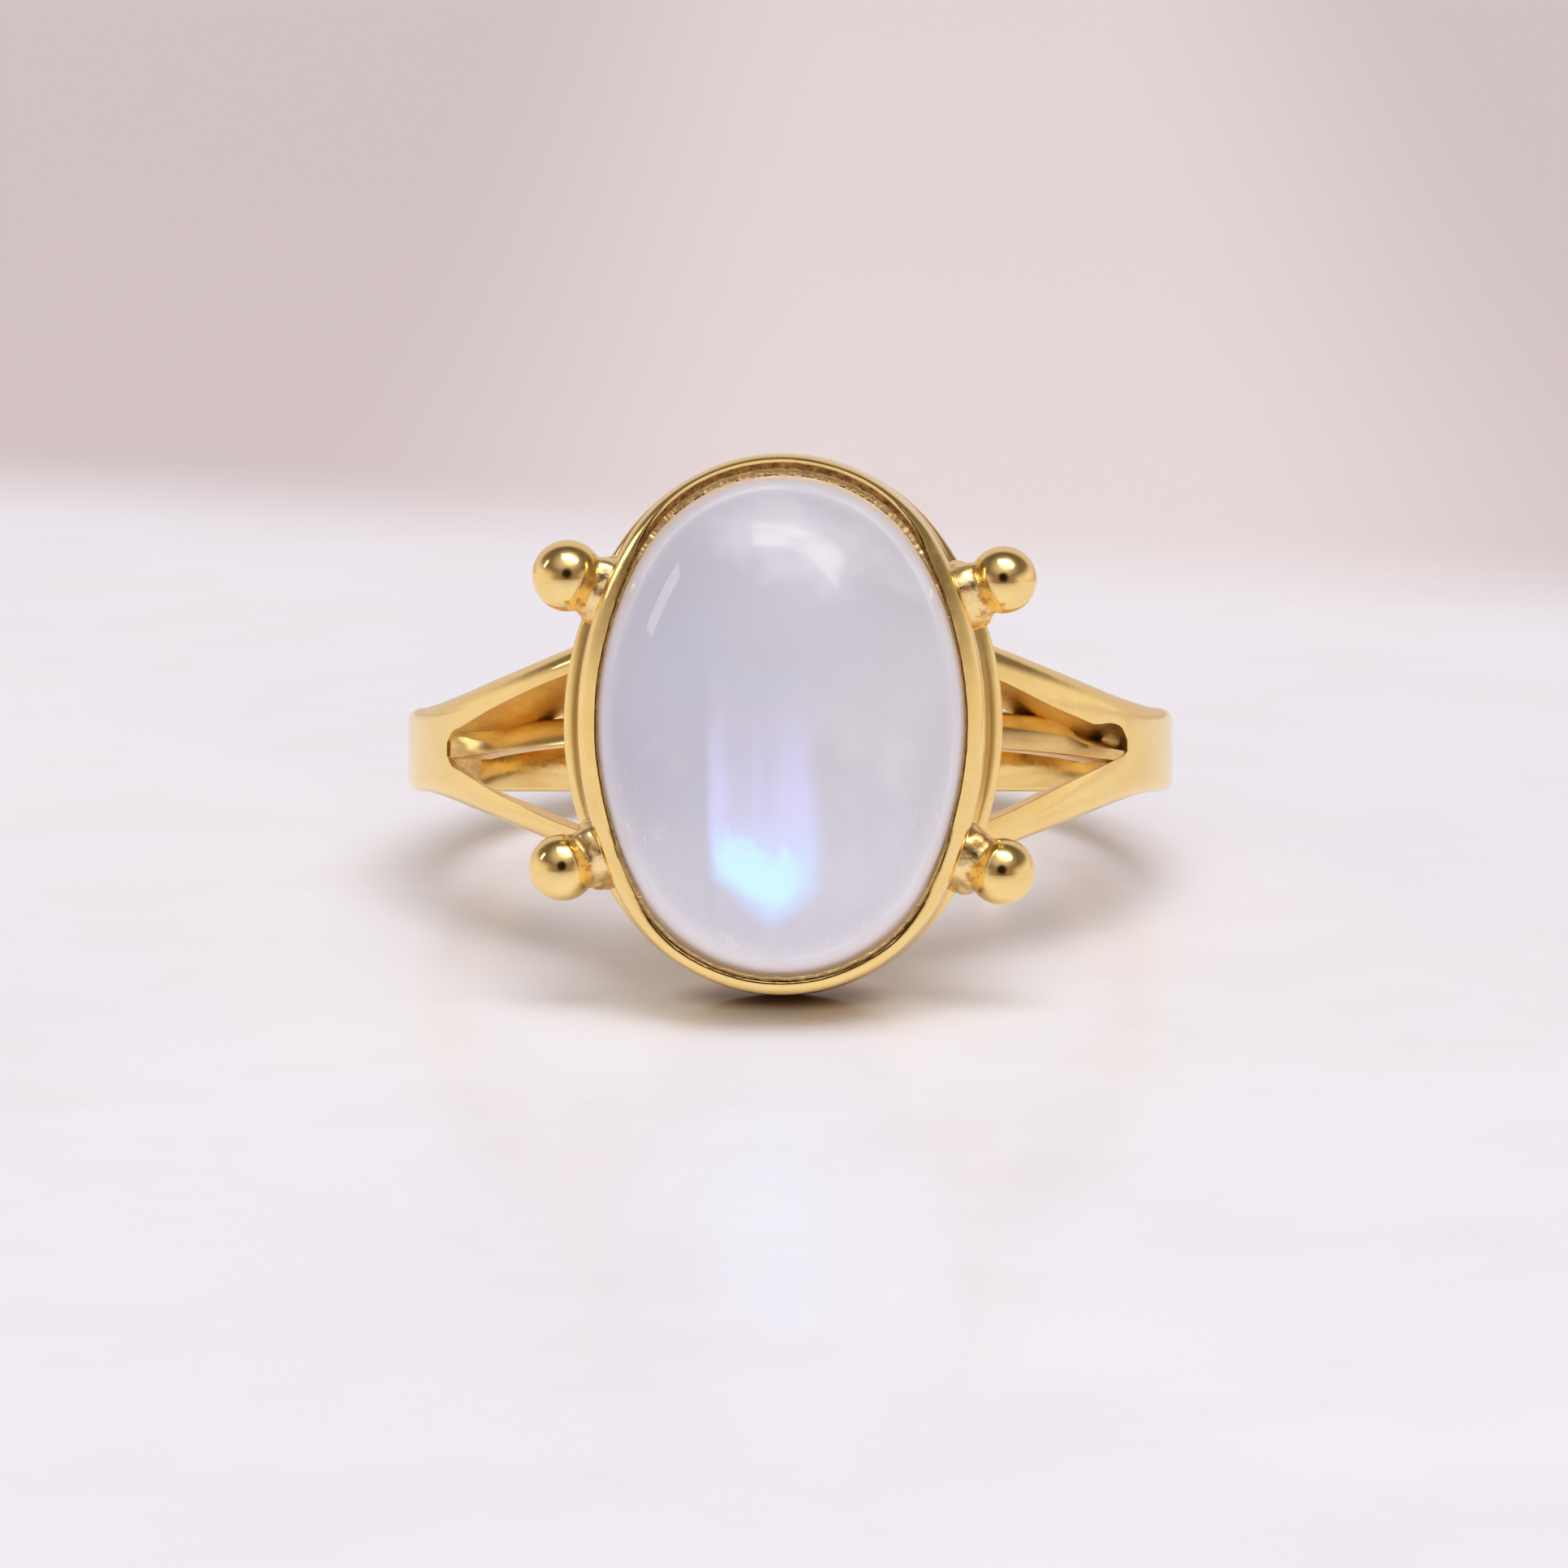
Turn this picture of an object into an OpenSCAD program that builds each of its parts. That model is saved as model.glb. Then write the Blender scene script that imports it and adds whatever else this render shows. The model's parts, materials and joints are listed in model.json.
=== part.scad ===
// Moonstone ring: an oval domed stone in a plain bezel, four small balls round the bezel,
// and a band that splits into two arms and a thin middle bar on each side of the stone.
// Millimetres. The ring is drawn with its finger hole along Y and the stone facing +Z.
// Each node is then laid down on its side, as the ring lies by itself.

/* [Band] */
// inside diameter of the band
finger_d = 16.5; // [14:0.1:22]
// thickness of the band
band_t = 1.35; // [1:0.05:2]
// width of the band where it isn't split
band_w = 2.1; // [1.6:0.1:3]
// rounding of the band's outer edges
band_round = 0.32; // [0.15:0.01:0.45]

/* [Split shoulders] */
// where the band splits, in degrees from the stone
split_angle = 60.5; // [50.5:1:65.5]
// where the band starts to widen, in degrees from the stone
flare_angle = 75; // [68:1:85]
// how fast the arms spread
flare_rate = 0.0049; // [0.003:0.0001:0.006]
// how much faster they spread close to the stone
flare_power = 1.52; // [1.3:0.01:1.6]
// width of an arm's outer face
arm_w = 0.87; // [0.6:0.01:1.1]
// how far an upper arm's inner wall leans into the opening
arm_lean = 0.6; // [0.3:0.01:0.65]
// how far a lower arm's inner wall leans into the opening
low_lean = 0.1; // [0.05:0.01:0.3]
// farthest that an arm goes from the band's middle, under the base
arm_reach = 3.4; // [2.8:0.1:4]
// width of the middle bar
bar_w = 0.85; // [0.6:0.05:1.2]
// how far the middle bar's face lies under the band's face
bar_drop = 0.4; // [0.2:0.05:0.7]

/* [Stone] */
// width of the stone
stone_w = 9; // [8:0.1:10]
// length of the stone
stone_l = 12; // [11:0.1:13]
// radius of the oval at the stone's two ends
stone_end_r = 4; // [3.6:0.05:4.2]
// height of the dome above the widest line
dome_h = 3.6; // [3:0.1:4.4]
// depth of the stone under the widest line
stone_foot = 1.2; // [0.8:0.1:1.6]
// space between stone and metal
stone_gap = 0.03; // [0.02:0.01:0.06]

/* [Bezel] */
// thickness of the bezel's wall at the lip
wall_t = 0.22; // [0.2:0.01:0.35]
// how much thicker the wall is at its foot
wall_flare = 0.16; // [0.05:0.01:0.25]
// how far the lip reaches in over the stone
lip_in = 0.12; // [0.08:0.01:0.14]
// height of the lip's top above the stone's widest line
lip_top = 1.2; // [1.1:0.05:1.4]

/* [Base] */
// width of the oval base
base_w = 10.4; // [10.2:0.02:11]
// length of the oval base
base_l = 12.8; // [12.7:0.1:13.6]
// radius of the oval at the base's two ends
base_end_r = 4.6; // [4.4:0.05:4.9]
// thickness of the base
base_t = 1; // [0.9:0.05:1.2]
// top of the base above the middle of the finger hole
base_top = 9.95; // [9.9:0.05:10.3]
// how far the head sits to one side of the band's middle
head_shift = 0.55; // [0:0.05:0.8]

/* [Balls] */
// diameter of a ball
ball_d = 1.6; // [1.4:0.05:1.8]
// from the stone's edge to a ball's middle
ball_out = 1.28; // [1.1:0.02:1.5]
// direction of a ball round the side of the oval, in degrees
ball_angle = 21; // [16:0.5:25]
// height of a ball's middle above the base
ball_up = 1.2; // [1:0.05:1.6]
// width of a ball's short stem at the bezel
stem_foot_d = 1.65; // [1.4:0.05:1.8]
// width of a ball's short stem at the ball
stem_neck_d = 1.25; // [0.9:0.05:1.3]

/* [Hidden] */
$fn = 96;

// the band's inner and outer radius, and the radius that its pieces are drawn down to
bore_r = finger_d / 2;
band_r = bore_r + band_t;
core_r = bore_r - 0.25;
// the shoulders' curves are drawn in steps of this many degrees, up to this angle
cut_step = 3;
cut_end = 84;
// how much the inner walls of the upper arms (side 1) and the lower arms (side -1) lean
function lean_angle(side) = atan((side > 0 ? arm_lean : low_lean) / band_t);
// how far the foot of the bezel reaches into the base
foot_sink = 0.05;
// how far the ends of the middle bar lie below its middle
bar_sink = 0.45;
// the stone's widest line and the lip's top, above the middle of the finger hole
girdle_z = base_top + stone_gap + stone_foot;
lip_z = girdle_z + lip_top;
// roundings of the base's upper and lower edge, and the width of its rim
bead_r = 0.2;
foot_r = 0.15;
base_rim = 1.6;
// half the lip's width, and the heights above the widest line where the wall's inside leans in
lip_r = (wall_t + stone_gap + lip_in) / 2;
lean_from = 0.3;
lean_to = 0.75;

// the two circle centres and the side radius of an oval drawn with four arcs
function side_r(l, w, end_r) =
    (pow(l / 2 - end_r, 2) + pow(w / 2, 2) - pow(end_r, 2)) / (w - 2 * end_r);
function end_c(l, end_r) = l / 2 - end_r;
function side_c(l, w, end_r) = side_r(l, w, end_r) - w / 2;

// how the ring lies: on the lower edge of its base and on the outer edge of the band opposite
rest_band = [band_round - band_w / 2, band_round - band_r];
rest_base = [head_shift + foot_r - base_l / 2, base_top - base_t + foot_r];
rest_tilt = atan2(rest_band[0] - rest_base[0], rest_base[1] - rest_band[1])
    - asin((band_round - foot_r) / norm(rest_base - rest_band));
rest_lift = foot_r - rest_base[0] * cos(rest_tilt) - rest_base[1] * sin(rest_tilt);
// how far the dome and the band reach from the middle of the finger hole, along the surface
dome_reach = girdle_z * cos(rest_tilt) - head_shift * sin(rest_tilt)
    + norm([dome_h * cos(rest_tilt), stone_l / 2 * sin(rest_tilt)]);
band_reach = band_round - rest_band[1] * cos(rest_tilt) - rest_band[0] * sin(rest_tilt);
rest_slide = (dome_reach - band_reach) / 2;

module lay_down()
    translate([0, rest_slide, rest_lift])
        rotate([90 - rest_tilt, 0, 0])
            children();

// half the shank's width at an angle from the stone, and the inner wall of an arm
function shank_half(t) =
    min(arm_reach, band_w / 2 + flare_rate * pow(max(0, flare_angle - abs(t)), flare_power));
function arm_wall(t) = shank_half(t) - arm_w;
// where the middle bar runs: it leaves the split low and rises to the middle of the head
function bar_mid(t) = head_shift - bar_sink * pow(abs(t) / split_angle, 2);

// the space within an angle on both sides of the stone
module wedge(angle)
    rotate([90, 0, 0])
        linear_extrude(height = 4 * arm_reach, center = true)
            polygon([
                [0, 0],
                [-2 * band_r * sin(angle), 2 * band_r * cos(angle)],
                [-2 * band_r, 2 * band_r],
                [2 * band_r, 2 * band_r],
                [2 * band_r * sin(angle), 2 * band_r * cos(angle)]
            ]);

// the band cut across, with its outer edges rounded: radius and distance from its middle plane
function on_band(t, r, a) = [r * sin(t), a, r * cos(t)];
function band_section(t) =
    let (out = shank_half(t))
    concat(
        [[core_r, -out]],
        [for (k = [90:-15:0])
            [band_r - band_round * (1 - cos(k)), band_round * (1 - sin(k)) - out]],
        [for (k = [0:15:90])
            [band_r - band_round * (1 - cos(k)), out - band_round * (1 - sin(k))]],
        [[core_r, out]]
    );

// the places where the band is cut across, closer together at the shoulders
half_turn = concat([for (t = [0:cut_step:78]) t], [for (t = [84:6:174]) t]);
full_turn = concat(
    half_turn,
    [180],
    [for (i = [len(half_turn) - 1:-1:1]) -half_turn[i]]
);

// the whole band with its wide shoulders, swept round the finger hole
module band() {
    rows = [for (t = full_turn) [for (p = band_section(t)) on_band(t, p[0], p[1])]];
    n = len(rows[0]);
    m = len(rows);
    polyhedron(
        points = [for (row = rows) each row],
        faces = [
            for (i = [0:m - 1])
                for (j = [0:n - 1])
                    let (i2 = (i + 1) % m, j2 = (j + 1) % n)
                    each [
                        [i * n + j, i * n + j2, i2 * n + j2],
                        [i * n + j, i2 * n + j2, i2 * n + j]
                    ]
        ],
        convexity = 8
    );
}

// all that lies below one arm's inner wall, which leans in towards the opening
module beside_arm(side)
    rotate([-side * lean_angle(side), 0, 0])
        linear_extrude(height = 3 * band_r)
            polygon(concat(
                [for (t = [-cut_end:cut_step:cut_end])
                    [band_r * sin(t), side * (arm_wall(t) * cos(lean_angle(side))
                        - band_r * cos(t) * sin(lean_angle(side)))]],
                [
                    [2 * band_r, -side * 3 * arm_reach],
                    [-2 * band_r, -side * 3 * arm_reach]
                ]
            ));

// the space between the arms
module opening()
    intersection() {
        wedge(split_angle);
        beside_arm(1);
        beside_arm(-1);
    }

module middle_bar()
    intersection() {
        wedge(split_angle + cut_step);
        rotate([90, 0, 0])
            cylinder(r = band_r - bar_drop, h = 4 * arm_reach, center = true);
        linear_extrude(height = 2 * band_r)
            polygon(concat(
                [for (t = [-cut_end:cut_step:cut_end]) [band_r * sin(t), bar_mid(t) + bar_w / 2]],
                [for (t = [cut_end:-cut_step:-cut_end]) [band_r * sin(t), bar_mid(t) - bar_w / 2]]
            ));
    }

module shank()
    color("goldenrod")
    difference() {
        union() {
            difference() {
                band();
                opening();
            }
            middle_bar();
        }
        rotate([90, 0, 0])
            cylinder(r = bore_r, h = 4 * arm_reach, center = true);
    }

// the share of the plane that belongs to one side arc or one end arc of an oval
module side_share(l, w, end_r, side)
    polygon([
        [0, -end_c(l, end_r)],
        [0, end_c(l, end_r)],
        [side * 3 * side_c(l, w, end_r), 4 * end_c(l, end_r)],
        [side * 3 * side_c(l, w, end_r), -4 * end_c(l, end_r)]
    ]);
module end_share(l, w, end_r, end)
    polygon([
        [0, end * end_c(l, end_r)],
        [3 * side_c(l, w, end_r), end * 4 * end_c(l, end_r)],
        [-3 * side_c(l, w, end_r), end * 4 * end_c(l, end_r)]
    ]);

// carries a flat shape round an oval: its x is measured outwards from the oval's edge
module round_oval(l, w, end_r)
    for (turn = [-1, 1]) {
        intersection() {
            translate([-turn * side_c(l, w, end_r), 0, 0])
                rotate_extrude()
                    translate([side_r(l, w, end_r), 0])
                        children();
            linear_extrude(height = 2 * lip_z)
                side_share(l, w, end_r, turn);
        }
        intersection() {
            translate([0, turn * end_c(l, end_r), 0])
                rotate_extrude()
                    translate([end_r, 0])
                        children();
            linear_extrude(height = 2 * lip_z)
                end_share(l, w, end_r, turn);
        }
    }

// the oval base under the bezel, soldered to the shank
module base()
    color("goldenrod") {
        round_oval(base_l, base_w, base_end_r)
            union() {
                translate([-base_rim, base_top - base_t])
                    square([base_rim - bead_r, base_t]);
                translate([-2 * bead_r, base_top - base_t + foot_r])
                    square([2 * bead_r, base_t - foot_r - bead_r]);
                translate([-bead_r, base_top - bead_r])
                    circle(r = bead_r);
                translate([-foot_r, base_top - base_t + foot_r])
                    circle(r = foot_r);
                translate([-2 * foot_r, base_top - base_t])
                    square([foot_r, 2 * foot_r]);
            }
        translate([0, 0, base_top - base_t])
            linear_extrude(height = base_t)
                polygon([
                    for (k = [0:10:350])
                        [(base_w - base_rim) / 2 * cos(k), (base_l - base_rim) / 2 * sin(k)]
                ]);
    }

// the wall round the stone, with a rounded lip that leans in over it
module bezel()
    color("gold")
    round_oval(stone_l, stone_w, stone_end_r)
        union() {
            polygon([
                [stone_gap, base_top - foot_sink],
                [stone_gap + wall_t + wall_flare, base_top - foot_sink],
                [stone_gap + wall_t, lip_z - lip_r],
                [-lip_in, lip_z - lip_r],
                [-lip_in / 2, girdle_z + lean_to],
                [stone_gap, girdle_z + lean_from]
            ]);
            translate([lip_r - lip_in, lip_z - lip_r])
                circle(r = lip_r);
        }

// a ball on the short stem that joins it to the bezel
module ball(side, end)
    scale([side, end, 1])
        translate([-side_c(stone_l, stone_w, stone_end_r), 0, base_top + ball_up])
            rotate([0, 0, ball_angle])
                translate([side_r(stone_l, stone_w, stone_end_r), 0, 0]) {
                    translate([ball_out, 0, 0])
                        sphere(d = ball_d);
                    translate([stone_gap + wall_t / 2, 0, 0])
                        rotate([0, 90, 0])
                            cylinder(d1 = stem_foot_d, d2 = stem_neck_d, h = ball_out - ball_d / 3);
                }

module balls()
    color("gold")
    for (side = [-1, 1])
        for (end = [-1, 1])
            ball(side, end);

module ring_mount()
    lay_down() {
        shank();
        translate([0, head_shift, 0]) {
            base();
            bezel();
            balls();
        }
    }

// the stone: an oval turned about its long line, flattened to its height and cut flat below
module moonstone()
    color("lavender")
    lay_down()
        translate([0, head_shift, girdle_z])
            difference() {
                scale([1, 1, 2 * dome_h / stone_w])
                    rotate([90, 0, 0])
                        rotate_extrude()
                            half_oval();
                translate([0, 0, -stone_l / 2 - stone_foot])
                    cube([stone_l, 2 * stone_l, stone_l], center = true);
            }

// half of the stone's oval, to the right of its long line
module half_oval() {
    intersection() {
        translate([-side_c(stone_l, stone_w, stone_end_r), 0])
            circle(r = side_r(stone_l, stone_w, stone_end_r));
        side_share(stone_l, stone_w, stone_end_r, 1);
    }
    for (end = [-1, 1])
        intersection() {
            translate([0, end * end_c(stone_l, stone_end_r)])
                circle(r = stone_end_r);
            end_share(stone_l, stone_w, stone_end_r, end);
            translate([0, -stone_l])
                square([stone_w, 2 * stone_l]);
        }
}

ring_mount();
moonstone();
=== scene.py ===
import json
import math

import bmesh
import bpy
from mathutils import Matrix, Vector, noise


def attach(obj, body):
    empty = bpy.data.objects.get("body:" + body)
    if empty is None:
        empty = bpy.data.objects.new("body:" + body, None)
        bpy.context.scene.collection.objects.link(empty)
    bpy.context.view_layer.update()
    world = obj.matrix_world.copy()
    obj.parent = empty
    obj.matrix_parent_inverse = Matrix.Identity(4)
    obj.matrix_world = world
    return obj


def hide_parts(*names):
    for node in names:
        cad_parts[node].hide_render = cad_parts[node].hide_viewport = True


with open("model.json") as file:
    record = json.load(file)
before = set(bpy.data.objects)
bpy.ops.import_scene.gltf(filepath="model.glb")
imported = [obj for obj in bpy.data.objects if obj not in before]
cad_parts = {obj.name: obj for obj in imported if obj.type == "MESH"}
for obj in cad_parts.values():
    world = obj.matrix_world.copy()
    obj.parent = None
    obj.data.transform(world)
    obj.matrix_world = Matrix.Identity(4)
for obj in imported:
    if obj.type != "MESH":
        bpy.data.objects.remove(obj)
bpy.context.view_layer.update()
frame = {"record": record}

# The pieces are drawn in millimetres round the finger hole: X across the ring, Y along the
# finger, Z towards the stone's face. The bore mount of the record says how the ring lies.
MM = 0.001
bore = frame["record"]["mounts"][0]
along = Vector(bore["axis"]).normalized()
facing = Vector((1, 0, 0)).cross(along)
AS_IT_LIES = (
    Matrix.Translation(bore["pos_m"])
    @ Matrix(((1, 0, 0), along, facing)).transposed().to_4x4()
    @ Matrix.Scale(MM, 4)
)

# Band and shoulders. Angles are degrees round the finger hole from the middle of the head.
BORE_R, BAND_R, BAND_W, BAND_ROUND, BORE_ROUND = 8.25, 9.6, 2.1, 0.32, 0.12
FLARE_ANGLE, FLARE_RATE, FLARE_POWER = 75, 0.0049, 1.52
# Arms: where the band splits, their width, their reach along the finger under the head, how
# sharply they level off there, and how much rounder their outer edges are than the band's.
SPLIT_ANGLE, ARM_W, ARM_REACH, LEVELLING, ROUNDER = 60, 0.87, 3.4, 4, 0.85
# How far their inner walls lean in over the depth of the band.
UPPER_LEAN_RIGHT, UPPER_LEAN_LEFT, LOWER_LEAN = 0.55, 0.75, 0.1
HALF_BAND = BAND_W / 2
HALF_SLOT = HALF_BAND - ARM_W
# The opening made by hand: wider on the left, narrower on the right, above (1) and below (-1).
WIDER_LEFT = {1: 0.16, -1: 0.24}
NARROWER_RIGHT = {1: 0.18, -1: 0.24}
LEAST_OPENING, RIM_ROUND = 0.05, 0.2
# Beyond this angle the opening's walls lie in shade, painted in with the darker pressed gold.
SHADED_ANGLE = 57
# Steps round the finger hole and round the head.
BAND_STEPS, BASE_STEPS, BEZEL_STEPS = 480, 240, 720
# Bar between the arms: width, depth under their faces, and how far its ends sink and reach.
BAR_W, BAR_DROP, BAR_SINK, BAR_REACH = 0.85, 0.4, 0.45, 61.5
# How far the head sits towards the band's upper edge.
HEAD_SHIFT = 0.55
# Ovals: length, width, radius of the ends. What follows one is first turned round Z at SPUN_R.
STONE_OVAL = (12.0, 9.0, 4.0)
BASE_OVAL = (12.8, 10.4, 4.6)
SPUN_R = 10.0
BASE_TOP, BASE_T = 9.95, 1.0
GIRDLE_Z, LIP_Z = 11.18, 12.38
DOME_H, STONE_FOOT = 3.6, 1.2
# Balls: distance from the stone's oval, degrees up its side, and height over the base.
BALL_OUT, BALL_ANGLE, BALL_UP = 1.28, 21, 1.2
# Each ball's side (left is -1), end (low is -1), radius, and shift from its even place.
BALLS = {
    "ball_upper_left": (-1, 1, 0.84, (0.12, 0.06, 0)),
    "ball_upper_right": (1, 1, 0.79, (0.04, -0.04, 0)),
    "ball_lower_left": (-1, -1, 0.79, (0, 0.05, 0)),
    "ball_lower_right": (1, -1, 0.79, (0, -0.04, 0)),
}
# Solder between ball and bezel: how far from the stone's oval, how far up across the stem,
# how far in front, and the size of each lump. The last ones run down onto the base.
SOLDER = (
    (0.28, 0.05, -0.20, 0.72), (0.50, 0.05, -0.10, 0.56), (0.72, 0.02, -0.06, 0.54),
    (0.46, 0.30, 0.02, 0.44), (0.30, 0.45, -0.20, 0.42), (0.62, -0.24, -0.12, 0.46),
    (0.52, -0.40, -0.34, 0.44), (0.45, -0.50, -0.62, 0.38), (0.42, -0.56, -0.92, 0.34),
)
# Points nearer to each other than this are made one.
WELD = 0.0005

# Colours of the gold, dark and light, where it is polished, left as cast, pressed, dull,
# soldered and in the seam. The pressed gold is also painted shade on the opening's far walls,
# and the solder's darkest colour is painted shade in its dents.
POLISHED = (0.96, 0.69, 0.26), (1.0, 0.76, 0.325)
AS_CAST = (0.96, 0.62, 0.18), (1.0, 0.74, 0.30)
PRESSED_AND_SHADE = (0.66, 0.42, 0.15), (1.0, 0.76, 0.36)
DULL = (0.70, 0.46, 0.17), (0.90, 0.66, 0.29)
CREASE_SHADE, SOLDERED, SOLDERED_LIGHT = (0.66, 0.38, 0.12), (0.98, 0.72, 0.33), (1.0, 0.80, 0.42)
IN_SEAM = (0.16, 0.07, 0.02), (0.46, 0.27, 0.09)
# Colours of the stone: its body, the painted glow, the painted light at the edge and the painted
# reflection of what shines in.
MILK_LEFT, MILK_RIGHT, MILK_LOW = (0.63, 0.615, 0.72), (0.705, 0.685, 0.745), (0.80, 0.79, 0.875)
STREAK, GREY_ABOVE, CLOUD = (0.60, 0.57, 0.68), (0.52, 0.505, 0.56), (0.86, 0.83, 0.90)
CRESCENT, GLOW_HEART, WHITE = (0.62, 0.58, 0.66), (0.62, 0.95, 1.0), (1.0, 1.0, 1.0)
# painted blue glow, which also shines by emission
GLOW_TONES = [
    (0.0, (0.66, 0.72, 1.0)), (0.30, (0.64, 0.74, 1.0)), (0.42, (0.69, 0.70, 1.0)),
    (0.56, (0.71, 0.68, 1.0)), (0.85, (0.70, 0.67, 0.86)),
]
GLOW_FADE = [(0.34, 1.0), (0.50, 0.85), (0.66, 0.55), (0.82, 0.22), (1.0, 0.0)]
GLOW_STRIPES = [
    (0.08, 0.95), (0.17, 1.0), (0.22, 0.55), (0.32, 0.45), (0.37, 0.75), (0.43, 0.5),
    (0.52, 0.85), (0.62, 0.95), (0.72, 0.5),
]
# How strongly the painted glow, its heart and the stone's foot shine by emission, how clear the
# polish is, and how much less it is at the foot.
GLOW_POWER, HEART_POWER, FOOT_POWER, POLISH, LESS_POLISH = 0.19, 0.045, 0.10, 0.85, -0.55
# painted light at the stone's edge: pale band, highlight line and the lip's reflection
PALE_EDGE_LIGHT, EDGE_HIGHLIGHT, LIP_REFLECTION = (0.95, 0.90, 0.92), (0.97, 0.95, 1.0), (0.82, 0.66, 0.56)
FLECK, FOOT_PAINTED_LIGHT = (0.92, 0.88, 0.93), (0.95, 0.88, 0.87)
# Colours of the floor.
MARBLE, MARBLE_LIGHT, VEIN = (0.92, 0.91, 0.985), (0.95, 0.945, 1.0), (0.84, 0.77, 0.77)
LIP_SHADE = (0.26, 0.09, 0.01)
FAR_MIDDLE, FAR_SIDES = (0.88, 0.78, 0.785), (0.68, 0.58, 0.585)
# Colours of the light: from the camera's side to the back, and from low to overhead.
FRONT_TO_BACK = [
    (0.0, (0.26, 0.18, 0.12)), (0.10, (0.40, 0.30, 0.22)), (0.24, (0.84, 0.76, 0.70)),
    (0.55, (0.94, 0.88, 0.86)), (1.0, (0.88, 0.81, 0.80)),
]
LOW_TO_HIGH = [
    (0.0, WHITE), (0.20, (0.92, 0.90, 0.89)), (0.45, (0.25, 0.215, 0.19)),
    (1.0, (0.13, 0.11, 0.095)),
]
PANE_POWER, SKIRT_POWER, HAZE_POWER = 3.2, 1.2, 0.6
BEHIND, PANE_WHITE, DARK_SPOT = (0.8, 0.78, 0.78), (1.0, 0.97, 0.98), (0.02, 0.008, 0.004)
COOL = (0.84, 0.94, 1.0)


# ---------------------------------------------------------------- shapes
def chain(bm, points, closed):
    """Vertices and edges through points in the plane X = 0, given as (y, z)."""
    corners = [bm.verts.new((0, y, z)) for y, z in points]
    pairs = zip(corners, corners[1:] + corners[:1]) if closed else zip(corners, corners[1:])
    return corners + [bm.edges.new(pair) for pair in pairs]


def arc(centre, radius, start, end, steps):
    """Points of an arc in the plane X = 0, its angles in degrees from +Y towards +Z."""
    angles = [math.radians(start + (end - start) * i / steps) for i in range(steps + 1)]
    return [(centre[0] + radius * math.cos(a), centre[1] + radius * math.sin(a)) for a in angles]


def turned(bm, outline, axis, steps, degrees=360):
    """Turns an outline round an axis through the middle. A full turn meets its own start."""
    bmesh.ops.spin(
        bm, geom=outline, cent=(0, 0, 0), axis=axis, dvec=(0, 0, 0),
        angle=math.radians(degrees), steps=steps, use_merge=degrees == 360, use_duplicate=False,
    )


def welded(bm):
    bmesh.ops.remove_doubles(bm, verts=bm.verts, dist=WELD)


def onto_head(bm):
    bmesh.ops.translate(bm, verts=bm.verts, vec=(0, HEAD_SHIFT, 0))


def oval_arc(turn, oval):
    """The centre and radius of the arc of an oval whose outward direction is turn."""
    length, width, end_r = oval
    end_c = length / 2 - end_r
    side_r = (end_c**2 + (width / 2) ** 2 - end_r**2) / (width - 2 * end_r)
    side_c = side_r - width / 2
    if abs(math.tan(turn)) < end_c / side_c:
        return Vector((-math.copysign(side_c, math.cos(turn)), 0)), side_r
    return Vector((0, math.copysign(end_c, math.sin(turn)))), end_r


def moved_onto_oval(bm, oval):
    """Moves what was turned round Z at SPUN_R onto an oval, keeping each distance from it."""
    for v in bm.verts:
        turn = math.atan2(v.co.y, v.co.x)
        out = math.hypot(v.co.x, v.co.y) - SPUN_R
        centre, r = oval_arc(turn, oval)
        v.co.x = centre.x + (r + out) * math.cos(turn)
        v.co.y = centre.y + (r + out) * math.sin(turn)


def turn_of(point):
    """Degrees round the finger hole from the middle of the head, and less than 0 on the left."""
    return math.degrees(math.atan2(point.x, point.z))


def from_bore(point):
    """Distance from the middle line of the finger hole."""
    return math.hypot(point.x, point.z)


def eased_between(value, low, high):
    """Nought where value is low, one where it is high, and a soft step between."""
    part = min(1.0, max(0.0, (value - low) / (high - low)))
    return part * part * (3 - 2 * part)


def open_edges(bm):
    return [e for e in bm.edges if len(e.link_faces) == 1]


def finished(bm, name, materials, node, sharp=35):
    """Closes a piece, lays it down with the ring and hangs it on the model's body."""
    welded(bm)
    bmesh.ops.holes_fill(bm, edges=open_edges(bm), sides=0)
    bmesh.ops.recalc_face_normals(bm, faces=bm.faces)
    for face in bm.faces:
        face.smooth = True
    for edge in bm.edges:
        edge.smooth = edge.calc_face_angle(0) < math.radians(sharp)
    bm.transform(AS_IT_LIES)
    mesh = bpy.data.meshes.new(name)
    bm.to_mesh(mesh)
    bm.free()
    for material in materials:
        mesh.materials.append(material)
    piece = bpy.data.objects.new(name, mesh)
    bpy.context.scene.collection.objects.link(piece)
    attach(piece, "root")
    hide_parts(node)
    return piece


# ---------------------------------------------------------------- steps of a finish
def add(tree, kind, **settings):
    """A node with its settings. A name that isn't one of its own settings is an input's."""
    node = tree.nodes.new("ShaderNode" + kind)
    for key, value in settings.items():
        if hasattr(node, key):
            setattr(node, key, value)
        else:
            node.inputs[key.replace("_", " ")].default_value = value
    return node


def ramp(tree, factor, stops):
    node = tree.nodes.new("ShaderNodeValToRGB")
    marks = node.color_ramp.elements
    while len(marks) < len(stops):
        marks.new(0.5)
    for mark, (place, colour) in zip(marks, stops):
        mark.position = place
        mark.color = (*colour, 1) if isinstance(colour, tuple) else (colour, colour, colour, 1)
    tree.links.new(factor, node.inputs["Fac"])
    return node.outputs["Color"]


def sums(tree, operation, first, second=0.0, third=0.0):
    node = tree.nodes.new("ShaderNodeMath")
    node.operation = operation
    for socket, value in zip(node.inputs, (first, second, third)):
        if isinstance(value, (int, float)):
            socket.default_value = value
        else:
            tree.links.new(value, socket)
    return node.outputs[0]


def plus(tree, first, second):
    return sums(tree, "ADD", first, second)


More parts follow.
